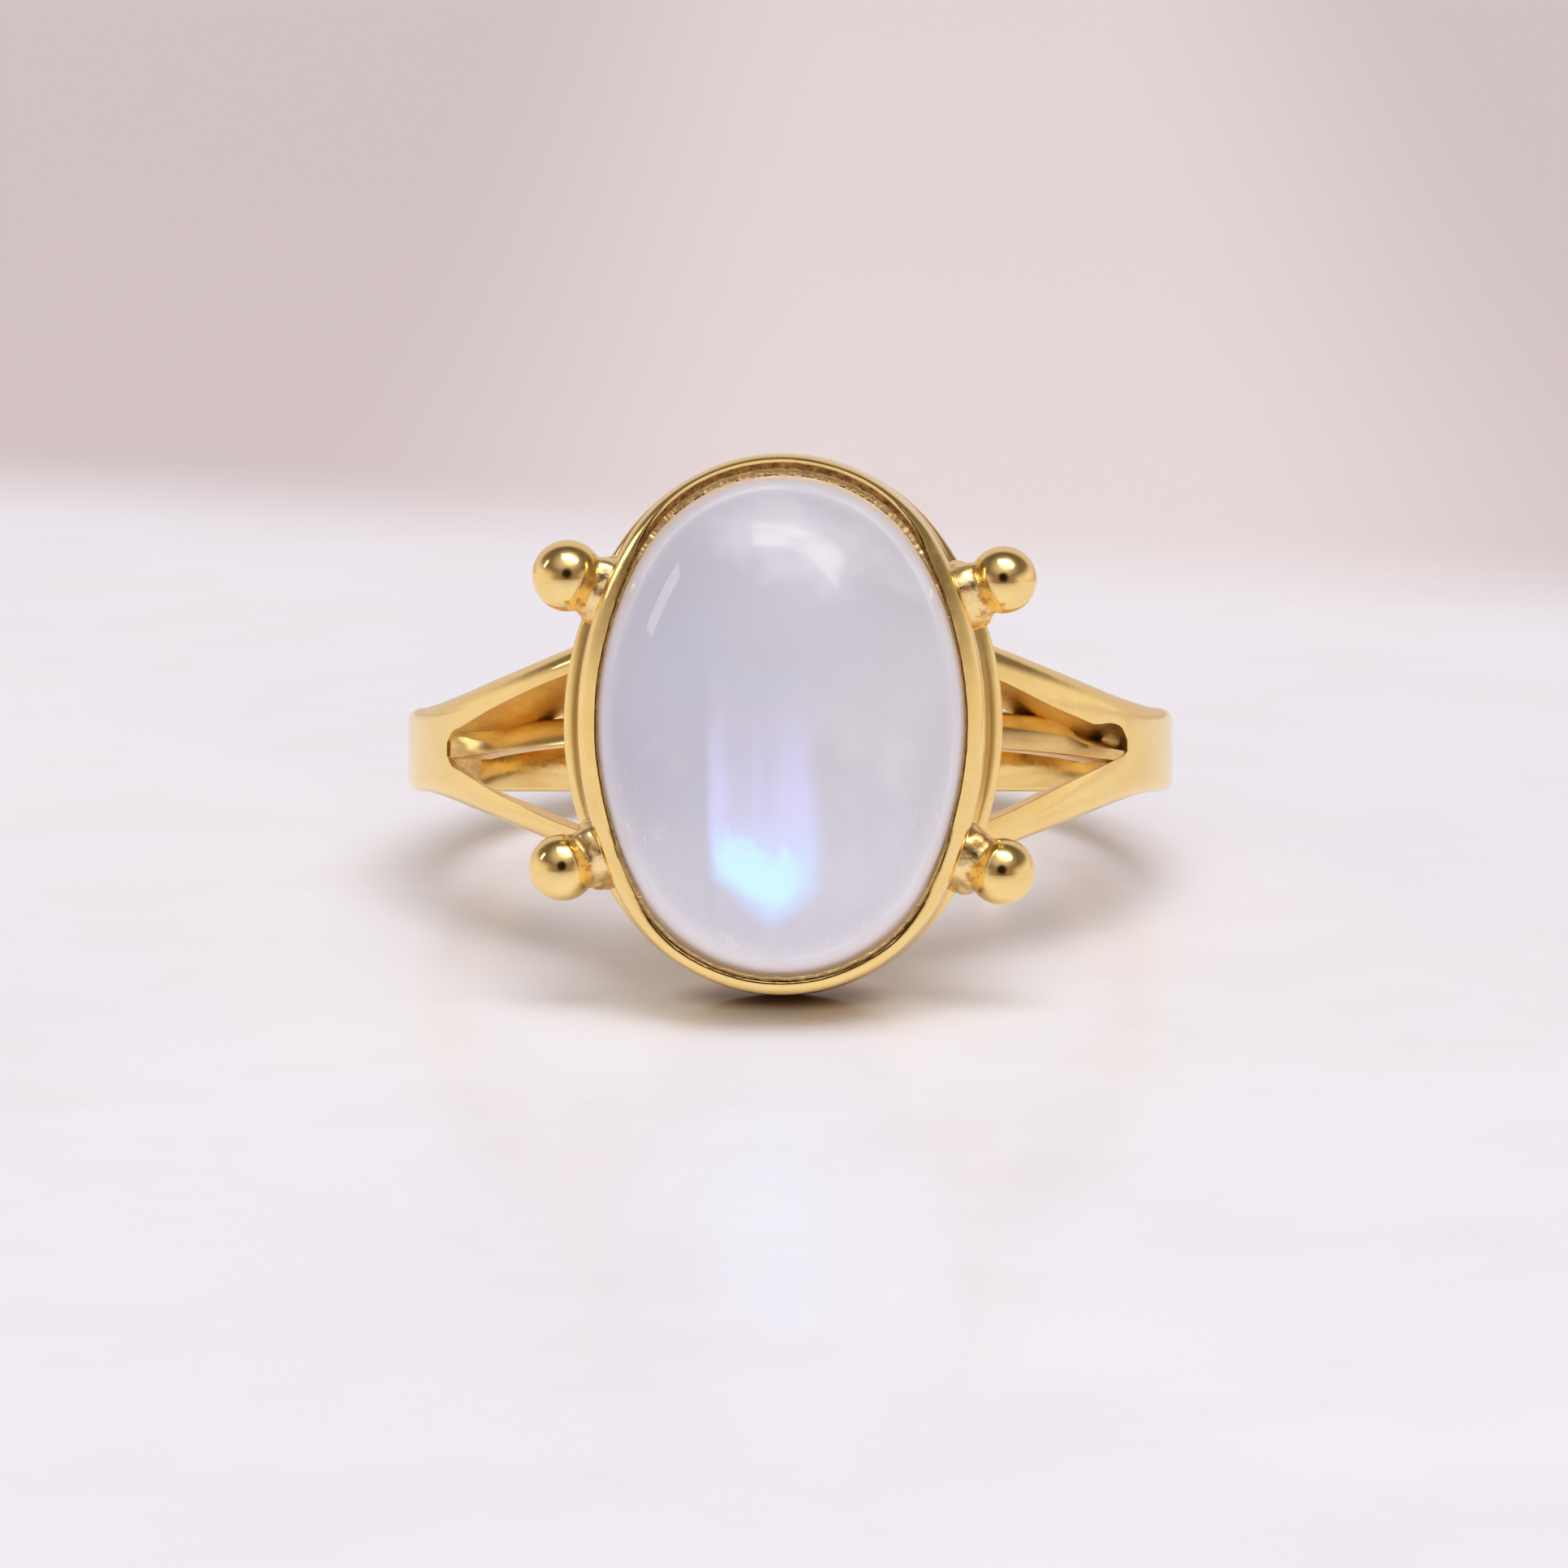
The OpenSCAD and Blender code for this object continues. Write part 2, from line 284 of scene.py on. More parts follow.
def times(tree, first, *others):
    for other in others:
        first = sums(tree, "MULTIPLY", first, other)
    return first


def times_plus(tree, first, second, third):
    return sums(tree, "MULTIPLY_ADD", first, second, third)


def between(tree, value, low, high, steps="LINEAR"):
    """Nought where value is low, one where it is high, and an even slope between."""
    node = add(tree, "MapRange", interpolation_type=steps, From_Min=low, From_Max=high)
    tree.links.new(value, node.inputs["Value"])
    return node.outputs["Result"]


def eased(tree, value, low, high):
    """Nought where value is low, one where it is high, and a soft step between."""
    return between(tree, value, low, high, "SMOOTHSTEP")


def hump(tree, value, rise, fall):
    """One between two soft steps, and nought before the rise and after the fall."""
    return times(tree, eased(tree, value, *rise), eased(tree, value, *fall))


def distance(tree, place, direction):
    """How far a direction of the world is from another."""
    node = add(tree, "VectorMath", operation="DISTANCE")
    tree.links.new(place, node.inputs[0])
    node.inputs[1].default_value = Vector(direction).normalized()
    return node.outputs["Value"]


def blended(tree, factor, first, second, blend="MIX"):
    node = add(tree, "Mix", data_type="RGBA", blend_type=blend)
    for name, kind, value in (
        ("Factor", "VALUE", factor), ("A", "RGBA", first), ("B", "RGBA", second),
    ):
        socket = next(i for i in node.inputs if i.name == name and i.type == kind)
        if isinstance(value, tuple):
            socket.default_value = (*value, 1)
        elif isinstance(value, (int, float)):
            socket.default_value = value
        else:
            tree.links.new(value, socket)
    return next(o for o in node.outputs if o.type == "RGBA")


def tinted(tree, under, mask, share, colour):
    """A share of a colour laid over another one where the mask is."""
    return blended(tree, times(tree, mask, share), under, colour)


def grain(tree, place, size, detail=2.0, stretch=None, roughness=0.5):
    """Noise whose patches are about size millimetres, longer where stretch says so."""
    if stretch:
        turned_place = add(tree, "Mapping", vector_type="TEXTURE", Scale=stretch)
        tree.links.new(place, turned_place.inputs["Vector"])
        place = turned_place.outputs["Vector"]
    node = add(tree, "TexNoise", Scale=1 / size, Detail=detail, Roughness=roughness)
    tree.links.new(place, node.inputs["Vector"])
    return node.outputs["Fac"]


def in_ring(tree, centre):
    """Millimetres from a centre on the ring, turned as the ring lies."""
    place = add(tree, "TexCoord").outputs["Object"]
    turned_place = add(
        tree, "Mapping", vector_type="TEXTURE", Location=AS_IT_LIES @ Vector(centre),
        Rotation=AS_IT_LIES.to_euler(), Scale=(MM, MM, MM),
    )
    tree.links.new(place, turned_place.inputs["Vector"])
    return turned_place.outputs["Vector"]


def axes_of(tree, place):
    parts = add(tree, "SeparateXYZ")
    tree.links.new(place, parts.inputs[0])
    return parts.outputs


def new_finish(name, **settings):
    """A material, its nodes and its shader, with what is the same all over the surface."""
    material = bpy.data.materials.new(name)
    material.use_nodes = True
    shader = material.node_tree.nodes["Principled BSDF"]
    for key, value in settings.items():
        shader.inputs[key.replace("_", " ")].default_value = value
    return material, material.node_tree, shader


def coloured(tree, shader, colour, roughness):
    tree.links.new(colour, shader.inputs["Base Color"])
    tree.links.new(roughness, shader.inputs["Roughness"])


def dented(tree, shader, height, strength, depth):
    """Small dents where height is low, up to a depth in millimetres."""
    dents = add(tree, "Bump", Strength=strength, Distance=depth * MM)
    tree.links.new(height, dents.inputs["Height"])
    tree.links.new(dents.outputs["Normal"], shader.inputs["Normal"])


# ---------------------------------------------------------------- finishes of the gold
def polished_gold():
    material, tree, shader = new_finish("polished_gold", Metallic=1)
    place = in_ring(tree, (0, 0, 0))
    dark, light = POLISHED
    cloudy = grain(tree, place, 1.6, 3.0, roughness=0.6)
    fine = grain(tree, place, 0.22, 4.0, roughness=0.65)
    colour = ramp(tree, cloudy, [(0.3, dark), (0.7, light)])
    coloured(tree, shader, colour, ramp(tree, fine, [(0.3, 0.07), (0.75, 0.17)]))
    lumps = grain(tree, place, 0.7, 2.0)
    dented(tree, shader, times_plus(tree, fine, 0.12, lumps), 0.35, 0.02)
    return material


def unpolished_gold(name, dark, light):
    """Where the polishing wheel doesn't reach: between the arms and round the stone. Its pressed,
    darker kind is also painted shade on the far walls of the opening.
    """
    material, tree, shader = new_finish(name, Metallic=1)
    place = in_ring(tree, (0, 0, 0))
    patchy = grain(tree, place, 0.35, 4.0, roughness=0.7)
    fine = grain(tree, place, 0.07, 3.0, roughness=0.7)
    colour = ramp(tree, patchy, [(0.3, dark), (0.7, light)])
    coloured(tree, shader, colour, ramp(tree, fine, [(0.3, 0.24), (0.7, 0.42)]))
    dented(tree, shader, fine, 0.5, 0.03)
    return material


def dull_gold():
    """The bar's face, which lies too low to be polished well."""
    material, tree, shader = new_finish("dull_gold", Metallic=1)
    dark, light = DULL
    smears = grain(tree, in_ring(tree, (0, 0, 0)), 0.9, 3.0, (1.8, 0.6, 1.0), 0.55)
    colour = ramp(tree, smears, [(0.3, dark), (0.7, light)])
    coloured(tree, shader, colour, ramp(tree, smears, [(0.3, 0.26), (0.7, 0.16)]))
    return material


def soldered_gold():
    """Solder between ball and bezel: half polished and dented, with painted brown shade in its
    creases.
    """
    material, tree, shader = new_finish("soldered_gold", Metallic=1)
    creases = grain(tree, in_ring(tree, (0, 0, 0)), 0.4, 3.0, roughness=0.6)
    # painted shade and light: darker where the solder is dented, lighter on its bumps
    colour = ramp(tree, creases, [(0.36, CREASE_SHADE), (0.46, SOLDERED), (0.7, SOLDERED_LIGHT)])
    coloured(tree, shader, colour, ramp(tree, creases, [(0.35, 0.36), (0.65, 0.2)]))
    dented(tree, shader, creases, 0.6, 0.05)
    return material


def dark_seam():
    """The narrow seam between lip and stone, where polish and shade collect."""
    material, tree, shader = new_finish("dark_seam", Metallic=1)
    dark, light = IN_SEAM
    patchy = grain(tree, in_ring(tree, (0, 0, 0)), 0.18, 3.0, roughness=0.7)
    colour = ramp(tree, patchy, [(0.35, dark), (0.65, light)])
    coloured(tree, shader, colour, ramp(tree, patchy, [(0.3, 0.5), (0.7, 0.3)]))
    return material


# ---------------------------------------------------------------- finish of the stone
def painted_blue_glow(tree, place, across, up):
    """The painted glow's shape, its heart and its tone: straight sides, a point below, and stripes
    that fade out above."""
    wander = times_plus(tree, grain(tree, place, 1.1, 3.0), 0.34, plus(tree, across, -0.17))
    aside = plus(tree, wander, 0.2)
    rounded = sums(tree, "SQRT", times_plus(tree, aside, aside, 0.06))
    over_point = times_plus(tree, rounded, -1.05, up)
    ragged = times_plus(tree, grain(tree, place, 0.9, 3.0), 0.5, over_point)
    height = between(tree, up, -5.0, 1.6)
    sides = hump(tree, wander, (-1.74, -1.44), (1.18, 0.62))
    fading = times(tree, eased(tree, ragged, -4.98, -4.5), ramp(tree, height, GLOW_FADE))
    stripes = ramp(tree, between(tree, wander, -2.0, 2.0), GLOW_STRIPES)
    striped = blended(tree, eased(tree, up, -2.9, -1.9), WHITE, stripes)
    shape = times(tree, sides, fading, striped)

    # the blue-green heart, brightest along the lower left side
    leaning = times_plus(tree, across, 0.25, up)
    flow = times_plus(tree, grain(tree, place, 0.8, 4.0, (0.6, 1.2, 1.0), 0.6), 1.8, leaning)
    low_down = times(tree, eased(tree, ragged, -4.72, -4.1), eased(tree, flow, -1.7, -2.7))
    heart = times(tree, low_down, hump(tree, wander, (-1.6, -1.3), (1.0, 0.1)))
    return shape, heart, blended(tree, heart, ramp(tree, height, GLOW_TONES), GLOW_HEART)


def with_painted_edge_light(tree, body, up, high, clouds, streaks):
    """Painted light at the edge: a pale band as if seen through the stone, a white highlight line,
    and tan above, a painted reflection of the lip shining in.
    """
    edge = times_plus(tree, clouds, 0.6, plus(tree, high, -0.3))
    wide, narrow = eased(tree, edge, 2.3, 1.2), eased(tree, edge, 1.95, 1.45)
    pale = blended(tree, eased(tree, up, -2.5, 0.5), wide, narrow)
    share = blended(tree, eased(tree, up, -3.5, 1.0), (0.75, 0.75, 0.75), (0.38, 0.38, 0.38))
    body = tinted(tree, body, pale, share, PALE_EDGE_LIGHT)
    # painted highlight: a thin white line along the edge
    line = times(
        tree, hump(tree, edge, (1.52, 1.62), (1.74, 1.66)), eased(tree, clouds, 0.42, 0.60)
    )
    body = tinted(tree, body, line, 0.35, EDGE_HIGHLIGHT)
    # painted reflection of the lip, in tan
    tan = eased(tree, times_plus(tree, streaks, 0.1, high), 1.46, 1.26)
    return tinted(tree, body, tan, eased(tree, up, -4.5, 0.0), LIP_REFLECTION)


def with_flecks(tree, body, place, across, up, high):
    """A few white flecks towards the edge, and larger ones low on the left."""
    flecks = eased(tree, grain(tree, place, 0.2, 3.0, (1.0, 1.6, 1.0)), 0.62, 0.72)
    outward = times(tree, eased(tree, high, 2.8, 1.7), eased(tree, up, 0.5, -2.8))
    spots = eased(tree, grain(tree, place, 0.34, 2.0, (1.5, 0.7, 1.0)), 0.56, 0.64)
    left = eased(tree, sums(tree, "ABSOLUTE", plus(tree, across, 1.25)), 1.3, 0.9)
    low = eased(tree, sums(tree, "ABSOLUTE", plus(tree, high, -1.75)), 0.4, 0.2)
    low_left = times(tree, left, low, eased(tree, up, -3.5, -4.2))
    spots = times(tree, spots, low_left)
    flecks = sums(tree, "MAXIMUM", flecks, spots)
    return tinted(tree, body, flecks, sums(tree, "MAXIMUM", outward, spots), FLECK)


def milky_stone():
    """Milky stone under a clear polish, with a painted blue glow low in its middle that also shines
    by emission.
    """
    material, tree, shader = new_finish(
        "milky_moonstone", Roughness=0.3, Specular_IOR_Level=0.0, Coat_Roughness=0.03, Coat_IOR=1.53
    )
    place = in_ring(tree, (0, HEAD_SHIFT, GIRDLE_Z))
    across, up, high = axes_of(tree, place)

    # milky body, lighter to the right and below, greyer above, with faint streaks along it
    clouds = grain(tree, place, 3.0, 3.0)
    streaks = grain(tree, place, 1.0, 4.0, (0.35, 5.0, 0.8), 0.5)
    rightward = times_plus(tree, clouds, 3.0, across)
    upward = times_plus(tree, clouds, 2.4, plus(tree, up, -1.2))
    body = blended(tree, eased(tree, rightward, -1.6, 4.4), MILK_LEFT, MILK_RIGHT)
    body = blended(tree, eased(tree, up, -0.5, -4.5), body, MILK_LOW)
    body = tinted(tree, body, eased(tree, streaks, 0.45, 0.75), 0.10, STREAK)
    body = tinted(tree, body, eased(tree, upward, -0.5, 4.6), 0.55, GREY_ABOVE)
    body = tinted(tree, body, eased(tree, clouds, 0.50, 0.68), 0.45, CLOUD)
    crescent = times(
        tree, hump(tree, high, (1.45, 1.75), (2.5, 2.0)), eased(tree, up, 3.2, 4.4)
    )
    body = tinted(tree, body, crescent, 0.3, CRESCENT)

    # painted blue glow, laid into the body's colour
    shape, heart, tone = painted_blue_glow(tree, place, across, up)
    patches = times_plus(tree, grain(tree, place, 0.6, 3.0, (0.6, 1.7, 1.0)), 0.6, 0.62)
    body = tinted(tree, body, shape, patches, tone)
    body = with_painted_edge_light(tree, body, up, high, clouds, streaks)
    body = with_flecks(tree, body, place, across, up, high)
    tree.links.new(body, shader.inputs["Base Color"])

    # painted light: the stone's foot shines by emission as if lit through, as do the glow and its
    # heart, and the polish mirrors less at the foot
    foot = times(tree, eased(tree, high, 2.1, 1.25), eased(tree, up, -1.5, -4.2))
    glow = times_plus(tree, heart, HEART_POWER, times(tree, shape, GLOW_POWER))
    for name, value in (
        ("Emission Color", blended(tree, foot, tone, FOOT_PAINTED_LIGHT)),
        ("Emission Strength", times_plus(tree, foot, FOOT_POWER, glow)),
        ("Coat Weight", times_plus(tree, foot, LESS_POLISH, POLISH)),
    ):
        tree.links.new(value, shader.inputs[name])
    return material


# ---------------------------------------------------------------- finish of the floor
def pale_floor():
    """Pale marble, in metres from the ring, with faint warm veins."""
    material, tree, shader = new_finish("pale_floor", Roughness=0.16, IOR=1.2)
    place = add(tree, "TexCoord").outputs["Object"]
    sideways, back, _ = axes_of(tree, place)
    clouds = grain(tree, place, 0.03, 3.0)
    near = blended(tree, eased(tree, clouds, 0.35, 0.65), MARBLE, MARBLE_LIGHT)
    veins = grain(tree, place, 0.007, 4.0, (1.0, 0.7, 1.0), 0.6)
    near = tinted(tree, near, eased(tree, veins, 0.46, 0.66), 0.16, VEIN)
    # a brown shade right under the lip, twice as long sideways as it is deep
    lip_in_front, shade_ends, shade_full = 0.0078, 0.0031, 0.0011
    under_lip = times(tree, plus(tree, back, lip_in_front), 2.0)
    squared = times_plus(tree, under_lip, under_lip, times(tree, sideways, sideways))
    shade = eased(tree, sums(tree, "SQRT", squared), shade_ends, shade_full)
    near = tinted(tree, near, shade, 0.85, LIP_SHADE)
    # behind a slanting soft border the ground is rosier, and darker at the sides
    aside = sums(tree, "ABSOLUTE", plus(tree, sideways, -0.006))
    far = blended(tree, eased(tree, aside, 0.006, 0.024), FAR_MIDDLE, FAR_SIDES)
    border = times_plus(tree, clouds, 0.006, times_plus(tree, sideways, 0.32, back))
    colour = blended(tree, eased(tree, border, 0.038, 0.052), near, far)
    tree.links.new(colour, shader.inputs["Base Color"])
    return material


# ---------------------------------------------------------------- the shank
def shank_half(turn):
    """Half the shank's width. Under the head it levels off softly at the arms' reach."""
    into_flare = max(0.0, FLARE_ANGLE - abs(turn))
    over = HALF_BAND + FLARE_RATE * into_flare**FLARE_POWER - ARM_REACH
    return ARM_REACH - math.log(1 + math.exp(-LEVELLING * over)) / LEVELLING


def bar_middle(turn):
    return HEAD_SHIFT - BAR_SINK * (turn / SPLIT_ANGLE) ** 2


def by_hand(turn, side):
    """How much wider the opening is on the left near the head, and how much narrower it is on
    the right near its point, where the upper arm gives way again."""
    if turn < 0:
        return WIDER_LEFT[side] * eased_between(-turn, 58, 34)
    if side > 0:
        at_point = 1 - 1.6 * eased_between(turn, 50, 57)
        return -NARROWER_RIGHT[side] * eased_between(turn, 30, 46) * at_point
    return -NARROWER_RIGHT[side] * eased_between(turn, 30, 50)


def rounder_edge(v, turn, r):
    """Rounds an arm's outer edge more than the band's, and gives the width that this takes."""
    more = ROUNDER * eased_between(abs(turn), 80, 56)
    flat = HALF_BAND - BAND_ROUND - HALF_SLOT
    over_flat = BAND_ROUND * max(0.0, abs(v.co.y) - HALF_SLOT) / flat
    narrower = more * min(HALF_BAND - abs(v.co.y), over_flat)
    v.co.x *= 1 - more * (BAND_R - r) / r
    v.co.z *= 1 - more * (BAND_R - r) / r
    return narrower


def inner_wall(v, turn, side, r):
    """How far an arm's inner wall spreads. It runs straight in from the front, so that its
    foot starts as the rim above it, and then the foot leans into the opening."""
    cut_in = 0.0
    if r < BORE_R + 0.1 and abs(turn) < FLARE_ANGLE:
        above = math.degrees(math.asin(math.sin(math.radians(turn)) * BORE_R / BAND_R))
        depth = BAND_R * math.cos(math.radians(above)) - v.co.z
        more_left = (UPPER_LEAN_LEFT - UPPER_LEAN_RIGHT) * eased_between(turn, 20, -20)
        lean = LOWER_LEAN if side < 0 else UPPER_LEAN_RIGHT + more_left
        cut_in = lean * depth / (BAND_R - BORE_R)
        on_point = eased_between(abs(turn), 45, 60) * eased_between(abs(turn), 72, 61)
        outward = math.copysign(math.radians(6 * on_point), turn)
        v.co = Matrix.Rotation(outward, 3, "Y") @ v.co
        turn = above
    spread = shank_half(turn) - HALF_BAND + by_hand(turn, side)
    # the opening draws in towards its point and closes bluntly there
    spread -= 0.1 * eased_between(abs(turn), 46, 60) * eased_between(abs(turn), 66, 60.5)
    spread = max(spread, LEAST_OPENING - HALF_SLOT)
    spread -= (spread + HALF_SLOT) * 0.6 * eased_between(abs(turn), 57.5, 60.4) ** 2
    return max(spread - cut_in, LEAST_OPENING - HALF_SLOT)


def make_shank(gold, rough_gold, painted_shade_gold):
    """A band turned from its section, spread at the shoulders, and opened between the arms."""
    bm = bmesh.new()
    right = (
        [(HALF_SLOT, BAND_R)]
        + arc((HALF_BAND - BAND_ROUND, BAND_R - BAND_ROUND), BAND_ROUND, 90, 0, 10)
        + arc((HALF_BAND - BORE_ROUND, BORE_R + BORE_ROUND), BORE_ROUND, 0, -90, 4)
        + [(HALF_SLOT, BORE_R)]
    )
    left = [(-y, z) for y, z in reversed(right)]
    turned(bm, chain(bm, right + left, True), (0, 1, 0), BAND_STEPS)
    welded(bm)

    def between_arms(face):
        middle = face.calc_center_median()
        return abs(middle.y) < HALF_SLOT / 2 and abs(turn_of(middle)) < SPLIT_ANGLE

    gap = [face for face in bm.faces if between_arms(face)]
    for v in bm.verts:
        turn, side, r = turn_of(v.co), math.copysign(1, v.co.y), from_bore(v.co)
        spread = shank_half(turn) - HALF_BAND
        if r > BAND_R - BAND_ROUND:
            spread -= rounder_edge(v, turn, r)
        if abs(abs(v.co.y) - HALF_SLOT) < 0.001:
            spread = inner_wall(v, turn, side, r)
        v.co.y += side * spread
    bmesh.ops.delete(bm, geom=gap, context="FACES")
    edges_of_gap = open_edges(bm)
    rim = [e for e in edges_of_gap if from_bore(e.verts[0].co) > BAND_R - 0.1]
    foot = [e for e in edges_of_gap if e not in rim]
    for face in bmesh.ops.bridge_loops(bm, edges=edges_of_gap)["faces"]:
        # painted shade: beyond SHADED_ANGLE the walls take the darker pressed gold
        shaded = abs(turn_of(face.calc_center_median())) > SHADED_ANGLE
        face.material_index = 2 if shaded else 1
    for edges, steps, material in ((rim, 6, 0), (foot, 3, 1)):
        bmesh.ops.bevel(
            bm, geom=edges, offset=RIM_ROUND, offset_type="OFFSET", segments=steps, profile=0.5,
            affect="EDGES", material=material, clamp_overlap=True,
        )
    return finished(bm, "split_band", (gold, rough_gold, painted_shade_gold), "ring_mount")


def make_bar(dull_gold, rough_gold):
    """The thin bar between the arms. It sinks towards the floor and rises into the band at its
    ends. Its lower half is crowned, and its upper half falls away to a lower edge."""
    bm = bmesh.new()
    top, half = BAND_R - BAR_DROP, BAR_W / 2
    low_round, high_round, high_edge = 0.06, 0.08, top - 0.36
    outline = (
        [(-half + 0.02, BORE_R + 0.02), (-half, BORE_R + 0.05), (-half, top - low_round)]
        + arc((-half + low_round, top - low_round), low_round, 165, 95, 3)
        + [(-half + half * i / 5, top - 0.006 * i * i / 5) for i in range(2, 6)]
        + [(half * i / 8, top - 0.03 - 0.26 * (i / 8) ** 1.3) for i in range(1, 8)]
        + arc((half - high_round, high_edge), high_round, 50, 0, 3)
        + [(half, BORE_R + 0.02)]
    )
    section = chain(bm, outline, True)
    to_left_end = Matrix.Rotation(math.radians(-BAR_REACH), 3, "Y")
    bmesh.ops.rotate(bm, verts=bm.verts, cent=(0, 0, 0), matrix=to_left_end)
    turned(bm, section, (0, 1, 0), int(5 * BAR_REACH), 2 * BAR_REACH)
    welded(bm)
    for face in bm.faces:
        middle = face.calc_center_median()
        if abs(abs(middle.y) - half) < 0.02 and from_bore(middle) < top - 0.1:
            face.material_index = 1
    flush, fall, more_fall_left, pit_depth = BAND_R - 0.03, 0.04, 0.34, 0.5
    wider, narrower_left = 1.06, 0.24
    for v in bm.verts:
        turn, r = turn_of(v.co), from_bore(v.co)
        on_left = eased_between(turn, 6, -6)
        if r > BORE_R + 0.3:
            upper = eased_between(v.co.y, -half * 0.5, half * 0.6)
            lower_r = r - (more_fall_left * on_left + fall) * (v.co.y + half)
            rise = eased_between(-turn, 50, 62)
            if turn > 0:
                rise = eased_between(turn, 47, 57) * (1 - upper)
            pit = pit_depth * upper * eased_between(turn, 49, 55)
            new_r = lower_r + (flush - lower_r) * rise - pit
            v.co.x *= new_r / r
            v.co.z *= new_r / r
        v.co.y = v.co.y * (wider - narrower_left * on_left) + bar_middle(turn) + 0.02
    return finished(bm, "middle_bar", (dull_gold, rough_gold), "ring_mount", 28)


# ---------------------------------------------------------------- the head
def make_base(gold):
    """The oval under the bezel, rounded over towards the bezel's wall."""
    bm = bmesh.new()
    low, inside, low_round = BASE_TOP - BASE_T, SPUN_R - 1.6, 0.15
    over_w, over_h, over_z = 0.42, 0.26, BASE_TOP - 0.30
    quarter = [math.pi / 2 * i / 12 for i in range(12)]
    rim = (
        [(inside, low)]
        + arc((SPUN_R - low_round, low + low_round), low_round, -90, 0, 5)
        + [(SPUN_R, BASE_TOP - 0.34)]
        + [(SPUN_R - over_w + over_w * math.cos(a), over_z + over_h * math.sin(a)) for a in quarter]
        + [(SPUN_R - 0.45, BASE_TOP), (inside, BASE_TOP)]
    )
    turned(bm, chain(bm, rim, False), (0, 0, 1), BASE_STEPS)
    moved_onto_oval(bm, BASE_OVAL)
    onto_head(bm)
    return finished(bm, "oval_base", (gold,), "ring_mount")


# The lip's section as distance out from the stone's oval and depth below the lip's crest,
# for the sides, the top and the foot of the oval, from the wall outside to the ragged edge.
LIP_AT_SIDES = (
    (0.345, 1.98), (0.30, 1.3), (0.268, 0.62), (0.25, 0.45), (0.235, 0.36), (0.205, 0.295),
    (0.165, 0.24), (0.12, 0.198), (0.06, 0.152), (0.0, 0.11), (-0.05, 0.076), (-0.095, 0.045),
    (-0.13, 0.02), (-0.15, 0.003), (-0.165, 0.03), (-0.18, 0.065), (-0.20, 0.058), (-0.226, 0.05),
)
LIP_AT_TOP = (
    (0.36, 1.98), (0.33, 1.3), (0.302, 0.62), (0.285, 0.40), (0.268, 0.27), (0.250, 0.185),
    (0.234, 0.13), (0.214, 0.092), (0.190, 0.06), (0.165, 0.028), (0.14, 0.0), (0.108, 0.010),
    (0.072, 0.030), (0.036, 0.06), (0.0, 0.105), (-0.07, 0.16), (-0.15, 0.145), (-0.235, 0.135),
)
LIP_AT_FOOT = (
    (0.36, 1.98), (0.345, 1.3), (0.335, 0.62), (0.325, 0.42), (0.312, 0.30), (0.29, 0.21),
    (0.26, 0.14), (0.225, 0.095), (0.19, 0.06), (0.15, 0.032), (0.105, 0.012), (0.06, 0.0),
    (0.03, 0.012), (0.015, 0.10), (0.0, 0.075), (-0.025, 0.062), (-0.055, 0.065), (-0.085, 0.085),
)
LIP_STEPS = len(LIP_AT_SIDES)
# The skin under the lip down to the base in the same way, with how much further out it lies
# at the foot of the oval.
WALL_FOOT = LIP_Z - BASE_TOP + 0.03
UNDER_LIP = (
    (-0.20, 0.14, 0.145), (-0.15, 0.28, 0.11), (-0.10, 0.45, 0.07), (-0.03, 0.8, 0.0),
    (0.03, 1.1, 0.0), (0.03, WALL_FOOT, 0.0),
)


def uneven(turn, size, seed):
    """A steady wander round the oval, from -1 to 1, with bumps of about size millimetres."""
    oval_r = 5.2
    return noise.noise(Vector((oval_r * math.cos(turn), oval_r * math.sin(turn), seed)) / size)


def lip_point(step, turn, top, foot):
    """Distance out and depth at a step of the lip's section. The first four steps are even,
    the last six are ragged, and those between are a little uneven."""
    ends = zip(LIP_AT_SIDES[step], LIP_AT_TOP[step], LIP_AT_FOOT[step])
    d, deep = (side + (high - side) * top + (low - side) * foot for side, high, low in ends)
    if step > 11:
        rough = (step - 11) / 6
        d += rough * (0.022 * uneven(turn, 0.35, 1.3) + 0.018 * uneven(turn, 0.12, 5.1))
        deep -= rough * (0.03 * uneven(turn, 0.25, 2.7) + 0.026 * uneven(turn, 0.1, 7.7) - 0.01)
        nicks = 0.035 * uneven(turn, 0.14, 4.4) + 0.02 * uneven(turn, 0.06, 6.2)
        d += nicks * foot * (13 <= step < 15)
    elif step > 3:
        d += 0.008 * uneven(turn, 1.6, 3.9)
        deep += 0.01 * uneven(turn, 1.1, 8.3)
    return d, deep


